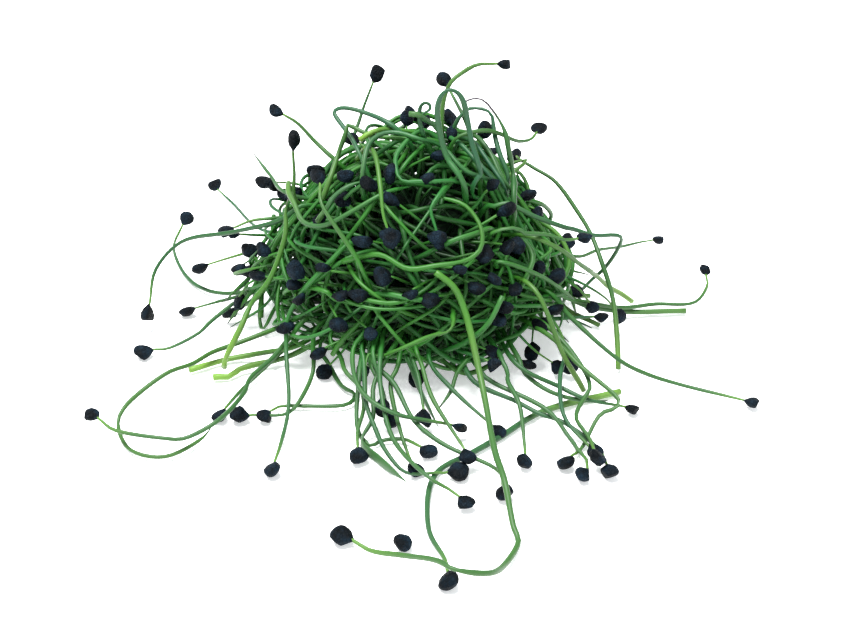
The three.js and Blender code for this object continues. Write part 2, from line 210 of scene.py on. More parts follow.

# %% [markdown]
# ## The skin of a stem
# A stem is deep green, some have a blue cast and some are fresh and yellowish. It turns pale near
# the cut end and yellow green in the last millimetres before the seed coat, and a tip without
# one dries to a dark thread. Fine lines run along it, and its skin is waxy, so it shows a broad
# soft highlight. Stems that stand out of the heap get a little painted shade, darker and greyer,
# and deep in the heap painted shade makes the green nearly black. A finish for each kind of stem
# could show that, but it would be hard to keep alike, so there is one finish and the mesh carries
# what it needs: how far a point is from the cut end, how blue, fresh and pale its stem is, how dry
# the point is, how deep in the heap it lies for the painted shade, and a place round and along the
# stem for the fine lines.

# %% The stem finish
# The shade and outer greens, and the near black in the finish, are painted shade, not the stems' own
# colours.
GREENS = {"deep": rgb(24, 76, 24), "blue": rgb(34, 82, 54), "fresh": rgb(74, 116, 36),
          "shade": rgb(18, 90, 20), "cut": rgb(112, 150, 56), "tip": rgb(86, 124, 48),
          "dry": rgb(58, 52, 58), "outer": rgb(30, 56, 40)}
# How much of the green the deepest painted shade leaves.
SHADE_LEFT = 0.06


def stem_finish():
    finish = Finish("onion_stem")
    along, blue, fresh, pale, dry, depth = (
        finish.named(name) for name in ("along", "blue", "fresh", "pale", "dry", "depth"))
    lines = finish.named("lines", 1)
    mottle = finish.grain(lines, 0.35, 3.0)
    streaks = finish.grain(lines, 2.6, 4.0, 0.6)
    body = finish.blend(blue, GREENS["deep"], GREENS["blue"])
    body = finish.blend(fresh * 0.8, body, GREENS["fresh"])
    body = finish.blend(mottle.ramp(0.4, 0.75) * 0.3, body, GREENS["fresh"])
    body = finish.blend(streaks.ramp(0.5, 0.8) * 0.14, body, GREENS["cut"])
    # Painted shade: stems that stand out of the heap are blended toward a darker, greyer green.
    body = finish.blend((1 - depth.ramp(0.0, 0.3)) * 0.4, body, GREENS["outer"])
    root = 1 - along.ramp(0.0, 0.36)
    end = along.ramp(0.84, 1.0)
    body = finish.blend(root * (0.1 + pale * 0.6), body, GREENS["cut"])
    body = finish.blend(end * 0.7, body, GREENS["tip"])
    body = finish.blend(dry, body, GREENS["dry"])
    # Painted shade: deeper in the heap the green turns more saturated and then nearly black.
    body = finish.blend(depth.ramp(0.0, 0.35) * 0.7, body, GREENS["shade"])
    painted_light = 1 - depth.ramp(0.3, 0.95) * (1 - SHADE_LEFT)
    body = finish.blend(painted_light, rgb(0, 24, 5), body)
    finish.feed(finish.skin, {
        "Base Color": body, "Roughness": 0.36 + streaks * 0.2, "Specular IOR Level": 0.28,
        "Normal": finish.bumps(streaks, 0.25, 0.0001)})
    return finish.material


STEM = stem_finish()
print("stem finish:", len(STEM.node_tree.nodes), "nodes")

# %% [markdown]
# ## The seed coat's finish
# An empty onion seed coat is black with a breath of blue, dull, and wrinkled all over like dried
# fruit. Fine wrinkles in the mesh would take many small faces, so only the wide folds are in its
# shape. The finish adds the fine net of wrinkles as bumps with painted shade in its grooves, a
# random grey-blue tone that is partly dust and partly painted sheen, and a painted highlight on the
# ridges of the folds.

# %% The seed coat finish
def seed_finish():
    finish = Finish("onion_seed_coat")
    place = finish.node("ShaderNodeTexCoord", {}, {}, 3)
    net = finish.node("ShaderNodeTexVoronoi", {"feature": "DISTANCE_TO_EDGE"}, {
        "Vector": place, "Scale": 1900.0})
    folds = finish.grain(place, 1300.0, 5.0, 0.62)
    dust_and_sheen = finish.grain(place, 420.0, 4.0, 0.6)
    # Random lighter blue-grey patches, partly grey dust and partly painted sheen.
    coat = finish.blend(dust_and_sheen.ramp(0.4, 0.7) * 0.85, rgb(2, 8, 12), rgb(18, 34, 46))
    # Painted shade: the grooves of the wrinkle net are darker.
    coat = finish.blend((1 - net.ramp(0.0, 0.12)) * 0.5, coat, rgb(0, 5, 8))
    # Painted highlight: the ridges of the folds are a lighter grey-blue.
    coat = finish.blend(folds.ramp(0.6, 0.8) * 0.3, coat, rgb(50, 68, 82))
    relief = folds + net.ramp(0.0, 0.25) * 0.35
    finish.feed(finish.skin, {
        "Base Color": coat, "Roughness": 0.48 + dust_and_sheen * 0.3, "Specular IOR Level": 0.08,
        "Normal": finish.bumps(relief, 0.85, 0.00025)})
    return finish.material


SEED_COAT = seed_finish()
print("seed coat finish:", len(SEED_COAT.node_tree.nodes), "nodes")

# %% [markdown]
# ## Where the sprouts lie
# The same points as in the part's source, in millimetres, from a sprout's thick end to its thin
# one. A line can't be read back from the solids, so the points are listed here again. Five
# sprouts lie apart from the bunch, and the others leave it and come to rest on the floor or stand
# up in the air.

# %% Measures that the solids share
HEAP_CENTRE = Vector((0, 2, 10))
HEAP_LEFT, HEAP_RIGHT, HEAP_FRONT, HEAP_BACK = 28.5, 23.5, 24.5, 20
HEAP_HIGH, HEAP_LOW = 23.5, 13
HEAP_TAPER = 0.5
CORE_CENTRE = Vector((0, 0, 5))
CUT_RADIUS = 0.62
TIP_RADIUS = 0.42
SEED_LONG = 3.1
SEED_WIDE = 2.7
SEED_DEEP = 2.0
SEED_OFF = 0.36
SEED_REST = 1.4
SEED_FOOT = 0.25
GAP = 0.35
LAID = 0.85
WRAPS, REAR_ARMS, REAR_CUT = 30, 7, 3
WRAP_ROW, REAR_ROW, SEED_ROW = 100, 556, 800
GOLDEN_TURN = 2.39996
print("a stem is", 2 * CUT_RADIUS, "mm thick where it was cut")

# %% Sprouts that lie apart
APART = {
    "lean": ([(1.5, -21, 21), (4, -21.5, 19), (5.5, -22, 16), (8, -29, 8), (9.5, -42, 5),
        (10.5, -47.5, 4.5), (11.5, -53.5, 1.5), (12, -55, 1), (10, -60, 1.5), (7.5, -64.5, 4.2),
        (3.5, -65.5, 5.8), (1.5, -63.5, 5.3), (-3, -59.5, 2.5), (-7, -57, 1)],
        (-10.5, -54.5, SEED_REST)),
    "cross": ([(29.5, -22, LAID), (17.5, -27, LAID), (10.5, -33.5, LAID), (6.5, -37, LAID),
        (1.5, -41.5, LAID), (0.5, -53, LAID), (2.5, -58.5, LAID)], (3, -62.5, SEED_REST)),
    "fall": ([(30, -16, LAID), (30, -13, 4), (29.5, -8, 9), (28, -4, 13), (26.5, 0, 16),
        (24.5, 3, 18.5), (21, 7, 22), (18, 9.5, 23), (15.5, 11, 24)], (15, 15, 23)),
    "twin": ([(-14, -19, 5.5), (-12.5, -19, 8), (-8, -18.5, 14), (-9.5, -18.5, 21), (-15, -14, 28.5),
        (-15.5, -11.5, 29.5)], (-15.5, -9.5, 30.5)),
    "pale": ([(-31, -16.5, 1.6), (-30.5, -17.5, 3.8), (-28, -16, 8.5), (-26.5, -13, 11),
        (-23.5, -12.5, 15), (-21, -10, 21.5), (-21, -8, 24.5), (-20.5, -7.5, 26)], None),
}
print(len(APART), "sprouts apart")

# %% Sprouts of the bunch that stand out of it
BUNCH = {
    "long_right": ([(8, -4, 12), (19, -11.5, 12), (21.5, -13, 9.5), (29.5, -19, 4.5), (34, -19.5, 2.2),
        (39, -20.5, 1), (45.5, -23.5, 1)], (48.5, -25.5, SEED_REST)),
    "hook": ([(8, 3, 10), (20, -7.5, 10), (23.5, -4.5, 6.5), (33, -0.5, 2.5), (38.5, 1.5, 2),
        (45, 2, 2), (48, 6.5, 3)], (48, 9.5, 4)),
    "cut_right": ([(43.5, 1, 1), (33, 0, 1.5), (29, -1.5, 3), (25, -3, 5), (12, 6, 6)], None),
    "loop": ([(-6, -2, 9), (-19.5, -11, 7), (-23, -10.5, 5), (-29.5, -12, 3), (-33, -14.5, 3),
        (-35.5, -18.5, 3.5), (-38.5, -21.5, 4), (-42.5, -26, 3), (-44, -29, 2.5), (-44.5, -30.5, 1.5),
        (-41.5, -36.5, 1), (-36.5, -38, 1), (-32, -34, 1), (-31, -31.5, 1)], None),
    "far_left": ([(-8, -6, 8), (-18, -12.5, 8), (-21, -14.5, 5.5), (-23, -18, 4.5), (-26, -23, 4),
        (-26.5, -27.5, 4.3), (-29.5, -34.5, 4.4), (-34, -36.5, 3), (-36.5, -37, 3.5), (-44, -35, 3.5)],
        (-47.5, -32, 4)),
    "left_seed": ([(-12, 4, 8), (-26, -3.5, 8), (-30.5, -2.5, 5), (-34.5, -6.5, 3.5), (-36, -9, 3),
        (-41, -10.5, 1)], (-44.5, -11.5, SEED_REST)),
    "left_arch": ([(-8, 2, 16), (-18.5, -4.5, 23.5), (-22, -5.5, 21.5), (-30, -2, 17.5), (-40, 2.5, 13),
        (-44, 0.5, 9), (-45.5, -2.5, 5)], (-45, -4, 3.5)),
    "back_curl": ([(-14, 6, 6), (-33, 5, 2), (-39, 9, 1), (-43, 15, 1), (-45, 20, 3)], (-43, 23, 7)),
    "far_back": ([(-12, 14, 12), (-29, 22, 5), (-35, 27, 8), (-37, 30, 10)], (-39, 32, 9)),
    "top_left": ([(-4, 4, 18), (-14, 2, 28), (-17, 4, 30), (-20, 5, 33)], (-23, 5, 35)),
    "up_left": ([(-10, 2, 16), (-20, -4, 24), (-20, -3, 28)], (-20, -2, 33)),
    "up_back": ([(-5, 7, 17), (-12, 10, 24), (-10.5, 15, 30), (-9.5, 17, 34)], (-8, 18, 36)),
    "kinked": ([(2, 2, 18), (-4, -2, 34.5), (-9.5, 2, 36), (-13, 3.5, 36), (-14, 3.5, 35.4),
        (-13.8, 3, 35), (-11, -1, 32.7), (-9.5, -4, 31), (-4, -6, 16)], None),
    "up_seed": ([(9, -4, 17), (8, -6, 31), (7, -3, 33.6), (6, 0, 35.5), (4, 4, 38.3)], (3, 5, 40)),
    "high_right": ([(5, 2, 18), (2.5, 0, 34), (3, 1, 39), (4, 1, 41.3), (5.5, 2, 42.2), (7.7, 2, 43.5)],
        (12, 4, 43)),
    "hairpin": ([(6, -4, 16), (5.5, -11, 30.5), (3.2, -9, 33.5), (2, -8, 38), (1.8, -8, 41),
        (2.6, -8, 43), (3.6, -8, 43.5), (4.7, -8, 43), (5.5, -8, 41.7), (6.1, -8, 39), (6.8, -9, 35.7),
        (8.2, -10, 31), (8, -4, 16)], None),
    "dark_arch": ([(12, -3, 16), (13.3, -10, 24.6), (13.1, -8.7, 27.4), (13, -5, 29), (12.4, -5, 33),
        (12, -4, 35), (11.2, -3, 36.5), (10, -2, 38), (8.9, -2, 39.3), (7.9, -2, 39.8), (6.8, -2, 39.7),
        (5.6, -3, 39.4)], None),
    "second_arch": ([(10, -2, 17), (12.6, -6, 28.5), (11.4, -4, 31.6), (10.5, -1, 34.8),
        (10.2, 0, 36.2), (9.5, 0, 37), (7.8, 1, 37), (6.2, 0, 37), (4, 0, 33), (3, 0, 18)], None),
    "right_top": ([(4, 2, 18), (4.5, -4, 34), (8.6, -3, 35), (11, -2, 34), (13.4, -1, 32.6),
        (15.1, 1, 31.6), (16.4, 2, 31.5)], (18, 5, 32)),
    "shoulder": ([(8, -5, 16), (10.5, -15, 24), (17.5, -13, 22.5), (20.5, -12.5, 21.5)],
        (24, -10.5, 21)),
    "knee_right": ([(6, -5, 17), (10.5, -10, 27), (17, -10, 24), (26, -7, 19.5), (29, -5, 18.5),
        (30.5, -4.5, 18), (29.5, 1.5, 9), (27.5, 2.5, 6), (25.5, 1.5, 4.5), (14, -2, 5)], None),
    "left_fall": ([(-2, -6, 16), (-11, -14, 22), (-12, -14.5, 21.5), (-15, -16, 18.5),
        (-20.5, -15.5, 10.5), (-21, -18, 6), (-20, -27.5, 2), (-20.5, -35, 1)], (-21, -41, SEED_REST)),
    "big_seed": ([(4, -10, 8), (7, -25, 5), (13.5, -28, 3.5), (17, -30.5, 3), (19.5, -31.5, 2.5),
        (24.5, -36.5, 1)], (25.5, -41.5, SEED_REST)),
    "low_right": ([(10, -10, 7), (14, -23, 6), (20, -25, 3.5), (23.5, -27, 3), (28, -27.5, 1.5)],
        (30.5, -27, SEED_REST)),
    "second": ([(4, -8, 7), (8, -23.5, 6), (9.5, -25, 5), (18, -31, 3.2), (20.5, -34.5, 1.5),
        (21.5, -37.5, 1)], (21.5, -42, SEED_REST)),
    "stand": ([(14, -12, 8), (19, -18, 8), (22, -23, 7), (28, -29.5, 4.5), (27.5, -30.5, 4),
        (25.5, -30.5, 3), (22, -36, 1)], (19.5, -39.5, SEED_REST)),
    "front_left": ([(-6, -8, 9), (-6.5, -25, 8.5), (-6.5, -27.5, 7), (-4.5, -37, 3.5), (1, -45.5, 3),
        (3, -46, 2)], (5.5, -48, SEED_REST)),
    "low_left": ([(-8, -8, 8), (-18.5, -12, 5), (-21.5, -13, 3), (-25, -17, 1.5), (-28, -22.5, 1)],
        (-30, -28.5, SEED_REST)),
    "knee_left": ([(-8, -8, 8), (-16.5, -14, 4), (-15, -15.5, 1.5), (-12.5, -21, 1), (-10.5, -23, 1),
        (-11.5, -25.5, 1), (-21.5, -26, 1)], (-23.5, -28.5, SEED_REST)),
    "leaf": ([(-2, -8, 9), (-3.5, -19, 9), (-5.5, -23, 8), (-7.5, -27, 5.5), (-7.5, -31.5, 3),
        (-9, -34.5, 1), (-6.5, -38.5, 1), (-2.5, -43.5, 1)], None),
    "leaf_two": ([(-1, -10, 8), (-3, -20.5, 7), (-2, -22.5, 5.5), (-0.5, -27, 4), (2, -32, 1.5)], None),
    "cut_left": ([(-36.5, -16.5, 1), (-31, -13.5, 1), (-27, -13, 1.5), (-20.5, -14.5, 3.5),
        (-10, -4, 6)], None),
    "cut_left_two": ([(-32.5, -18.5, 1), (-27, -16, 1.5), (-21, -14, 2.5), (-18, -14, 4), (-8, -8, 6)],
        None),
    "drop": ([(6, -10, 8), (11, -20.5, 7), (12, -26.5, 6), (13.5, -31, 5), (14, -36, 2)],
        (14, -39.5, SEED_REST)),
    "far_right": ([(12, 8, 8), (21.5, 4.5, 10), (26, 7, 8), (29.5, 11, 7), (34.5, 16, 5),
        (38.5, 19.5, 4)], (42, 21.5, 3.5)),
    "cut_shoulder": ([(35, 4, 1), (33, 3, 3), (30.5, 1, 5.5), (27.5, -3, 10), (23.5, -10.5, 16.5),
        (17, -13, 22.5), (6, -2, 16)], None),
    "olive": ([(24, -22, 1), (20, -22, 9), (16, -19, 17), (10, -8, 14)], None),
    "curly": ([(4, -10, 14), (3.5, -25.5, 14), (1, -24.5, 12.5), (-4, -24.5, 10), (-7, -23.5, 8.5),
        (-8, -23, 8.5), (-8.5, -24.5, 7.5), (-8, -25, 7.5)], None),
    "back_thin": ([(-6, 4, 17), (-21, -2, 24), (-25, 7, 23), (-28, 11, 25)], None),
    "crinkled": ([(-14, 2, 7), (-24, -2, 9), (-28, 0, 5.5), (-37, 1.5, 1.5)], (-39.5, 0.5, SEED_REST)),
}
print(len(BUNCH), "sprouts leave the bunch")

# %% Seed coats on the heap's skin
PERCHED = {
    "crown_left": (-12, -8, 30), "crown_mid": (-8, -11, 30), "crown_right": (10, -9, 29),
    "crown_back": (-2, 6, 34), "peak": (4, 9, 32), "cheek": (-12, -19.5, 16.5),
    "face_left": (-5, -17, 25), "face_right": (2, -18, 25), "brow": (12, -15, 22),
    "chin": (10, -25, 8), "hip": (28, -8, 5.5), "side_left": (-31, 2, 15),
    "rear_left": (-14, 19, 18), "rear_right": (12, 19, 17), "rear_low": (1, 24, 11),
}
LONE_SEED = Vector((-2.5, -56, SEED_REST))
print(len(PERCHED), "seed coats sit on the skin")

# %% [markdown]
# ## Places by rule
# The stems that wrap the heap and the arms at its hidden side follow a rule with a fixed row of
# draws. The rule is the one in the part's source, so the two heaps agree stem by stem.

# %% The draws
def draws_from(number):
    state = (number * 2654435761) & 0xFFFFFFFF

    def draw(low=0.0, high=1.0):
        nonlocal state
        state ^= (state << 13) & 0xFFFFFFFF
        state ^= state >> 17
        state ^= (state << 5) & 0xFFFFFFFF
        return low + (high - low) * state / 4294967296
    return draw


def heap_half(direction):
    """How far the heap reaches from its centre, to the side that a direction points to."""
    wide = (HEAP_RIGHT if direction[0] > 0 else HEAP_LEFT) * (1 - HEAP_TAPER * max(direction[2], 0))
    return Vector((wide, HEAP_FRONT if direction[1] < 0 else HEAP_BACK,
                   HEAP_LOW if direction[2] < 0 else HEAP_HIGH))


def on_heap(direction, share):
    """Where a direction from the heap's centre meets a share of its skin."""
    place = Vector(d * h * share for d, h in zip(direction, heap_half(direction))) + HEAP_CENTRE
    place.z = max(place.z, LAID)
    return place


def from_heap(place):
    """A place as a share of the heap's half sizes: its length is 1 on the skin."""
    off = Vector(place) - HEAP_CENTRE
    half = heap_half((off.x, off.y, min(off.z / HEAP_HIGH, 1)))
    return Vector(o / h for o, h in zip(off, half))


def outward_at(place):
    """The way out of the heap at a place."""
    way = from_heap(place)
    return Vector(w / h for w, h in zip(way, heap_half(way))).normalized()


def bearing(turn, rise):
    return Vector((math.cos(turn) * math.cos(rise), math.sin(turn) * math.cos(rise), math.sin(rise)))


print("first draw", round(draws_from(WRAP_ROW)(), 4))

# %% The stems that wrap the heap and the arms behind it
def wrap_path(number):
    draw = draws_from(WRAP_ROW + number)
    height = (number + draw()) / WRAPS
    top = bearing(number * GOLDEN_TURN, math.asin(height))
    level = Vector((-top.y, top.x, 0)).normalized()
    climb = -level.cross(top)
    slant = draw(-1, 1) * (0.6 + height + 0.6 * abs(top.x))
    heading = level * math.cos(slant) + climb * math.sin(slant)
    axis = top.cross(heading).normalized()
    span, skin, sway = draw(0.7, 1.15), draw(0.88, 1.03), draw(-0.3, 0.3)
    path = []
    for along in (-1, -0.66, -0.33, 0, 0.33, 0.66, 1):
        direction = Quaternion(axis, along * span) @ top
        direction = (direction + axis * sway * math.sin(along * 3)).normalized()
        path.append(on_heap(direction, skin - (skin - 0.55) * along ** 4))
    return path


def rear_arm(number):
    draw = draws_from(REAR_ROW + number)
    turn = math.radians(74 + 6.5 * number + draw(-5, 5))
    swing, reach = draw(-0.3, 0.3), draw(35, 47)

    def out(radius, share, height):
        return Vector((radius * math.cos(turn + swing * share),
                       4 + radius * math.sin(turn + swing * share), height))
    high = draw(5, 17)
    path = [out(9, 0, 8), out(24, 0, high), out(30, 0.2, high * 0.4 + 1), out(reach - 4, 0.8, 1.2)]
    return (path[::-1], None) if number % 4 == REAR_CUT else (path, out(reach, 1.15, SEED_REST))


def perch_path(seat):
    inward = CORE_CENTRE - seat
    aside = Vector((-inward.y, inward.x, 4)).normalized()
    return [seat + inward * 0.6 + aside * 3, seat + inward * 0.3 + aside * 4]


print("a wrap has", len(wrap_path(0)), "points")

# %% [markdown]
# ## From points to a smooth line
# A stem bends evenly, so a smooth curve goes through its points, with its speed tied to their
# spacing, which keeps it from looping where two points are close. The line is then cut into equal
# steps. A sprout of the bunch bends clear of the sprouts that lie apart and of the seed coats.

# %% The smooth line
STEP = 1.1


def smooth(points, fine=24):
    """A centripetal curve through the points."""
    ends = [2 * points[0] - points[1], *points, 2 * points[-1] - points[-2]]
    line = []
    for p0, p1, p2, p3 in zip(ends, ends[1:], ends[2:], ends[3:]):
        d0, d1, d2 = (max((b - a).length, 1e-4) ** 0.5 for a, b in ((p0, p1), (p1, p2), (p2, p3)))
        lead = ((p1 - p0) / d0 - (p2 - p0) / (d0 + d1) + (p2 - p1) / d1) * d1
        tail = ((p2 - p1) / d1 - (p3 - p1) / (d1 + d2) + (p3 - p2) / d2) * d1
        for k in range(fine):
            t = k / fine
            line.append(p1 + lead * t + (3 * (p2 - p1) - 2 * lead - tail) * t ** 2
                        + (2 * (p1 - p2) + lead + tail) * t ** 3)
    return line + [points[-1].copy()]


def even(line, step=STEP):
    """The same line with points at equal steps."""
    xyz = np.array(line)
    reach = np.concatenate([[0], np.cumsum(np.linalg.norm(np.diff(xyz, axis=0), axis=1))])
    stops = np.linspace(0, reach[-1], max(3, math.ceil(reach[-1] / step) + 1))
    return np.stack([np.interp(stops, reach, xyz[:, k]) for k in range(3)], axis=1)


def centreline(path, seed=None, step=STEP):
    """The stem's line, which stops short of its seed coat."""
    points = [Vector(p) for p in path]
    if seed is not None:
        seed, near = Vector(seed), SEED_LONG / 2 + GAP
        while (points[-1] - seed).length < near + 1.2:
            points.pop()
        points.append(seed + (points[-1] - seed).normalized() * near)
    line = even(smooth(points), step)
    line[:, 2] = np.maximum(line[:, 2], LAID)
    return line


def keep_clear(line, centres, reach):
    """Moves points of the line out of the balls round the centres."""
    for _ in range(3):
        for p in line:
            away = p - centres
            distance = np.linalg.norm(away, axis=1)
            for k in np.nonzero(distance < reach)[0]:
                away_now = p - centres[k]
                far = np.linalg.norm(away_now)
                if far < reach[k]:
                    p[:] = centres[k] + away_now * reach[k] / max(far, 1e-6)
            p[2] = max(p[2], LAID)


print("step", STEP, "mm")

# %% [markdown]
# ## All the sprouts
# Every sprout is kept as a small record: its name, its line, its seed coat's place, and how its
# thin end looks. A stem runs on into its seed coat, which the solids leave a hair's gap from.

# %% Gathering them
ENDS = {"leaf": "blade", "leaf_two": "blade", "dark_arch": "thread"}
FINE_STEP = {"curl": 0.35, "kinked": 0.55, "hairpin": 0.55, "curly": 0.6}
USUAL_THICK = 0.69
THICK = {"lean": 0.82, "cross": 0.82, "hairpin": 0.86, "pale": 0.8, "cut_left": 0.78,
         "cut_left_two": 0.86, "cut_right": 0.8, "kinked": 0.7, "up_back": 0.62, "far_back": 0.58,
         "top_left": 0.7, "high_right": 0.72, "far_right": 0.58, "crinkled": 0.6,
         "back_thin": 0.62, "dark_arch": 0.95}
BLUE_FRESH_PALE = {
    "hairpin": (1, 0, 0), "kinked": (1, 0, 0), "lean": (0.7, 0.6, 0.4), "loop": (0.2, 0.7, 0.2),
    "fall": (0.2, 0.3, 0.4), "olive": (0, 1, 0.5), "pale": (0, 1, 1), "cut_left": (0, 0.9, 1),
    "cut_left_two": (0, 0.9, 1), "high_right": (0, 1, 0.3), "cross": (0.8, 0.2, 0.7),
    "long_right": (0.4, 0.3, 0.2), "left_fall": (0.9, 0.3, 0.2), "twin": (0.1, 0.5, 0.2),
    "far_back": (1, 0, 0), "up_left": (0, 0.8, 0.2), "second_arch": (0.9, 0, 0),
    "yellow": (0, 1, 1), "pale_drop": (0, 1, 1), "curly": (0.3, 0.8, 0.2), "arc_wide": (1, 0, 0),
    "bundle_1": (1, 0.1, 0), "bundle_2": (0.9, 0, 0), "bundle_3": (1, 0, 0), "bundle_4": (0.6, 0.3, 0)}


class Sprout:
    def __init__(self, name, line, seed=None, thick=None, part="bunch"):
        self.name, self.line, self.part = name, line, part
        self.thick = thick or THICK.get(name, USUAL_THICK)
        self.end = ENDS.get(name, "tip")
        self.seed = None if seed is None else Vector(seed)
        if self.seed is not None:
            self.heading = (self.seed - Vector(line[-1])).normalized()

    def look(self, draw):
        """How blue, fresh and pale the stem is, each from 0 to 1."""
        blue, fresh, pale = draw(), draw(), draw() ** 2
        if self.part == "more" or self.name.startswith("wrap"):
            pale *= 0.3
        return BLUE_FRESH_PALE.get(self.name, (blue, fresh * (1 - blue * 0.6), pale))


def known_sprouts():
    found = []
    for name, (path, seed) in APART.items():
        found.append(Sprout(name, centreline(path, seed), seed, part=name))
    for name, (path, seed) in BUNCH.items():
        found.append(Sprout(name, centreline(path, seed, FINE_STEP.get(name, STEP)), seed))
    for k in range(REAR_ARMS):
        path, seed = rear_arm(k)
        found.append(Sprout(f"rear_{k + 1}", centreline(path, seed), seed))
    for name, seat in PERCHED.items():
        found.append(Sprout(name, centreline(perch_path(Vector(seat)), seat), seat))
    for k in range(WRAPS):
        found.append(Sprout(f"wrap_{k + 1}", centreline(wrap_path(k))))
    return found


sprouts = known_sprouts()
apart_points = np.concatenate([s.line for s in sprouts if s.part != "bunch"])
seed_points = np.array([s.seed for s in sprouts if s.seed is not None] + [LONE_SEED])
stem_reach = 2.5 * CUT_RADIUS + GAP + 0.1
seed_reach = SEED_LONG / 2 + 1.25 * CUT_RADIUS + GAP + 0.4
for s in sprouts:
    if s.part == "bunch":
        others = [p for p in seed_points if s.seed is None or (Vector(p) - s.seed).length > 0.01]
        centres = np.concatenate([apart_points, others])
        reach = np.repeat([stem_reach, seed_reach], [len(apart_points), len(others)])
        keep_clear(s.line, centres, reach)
print(len(sprouts), "sprouts shared with the solids")
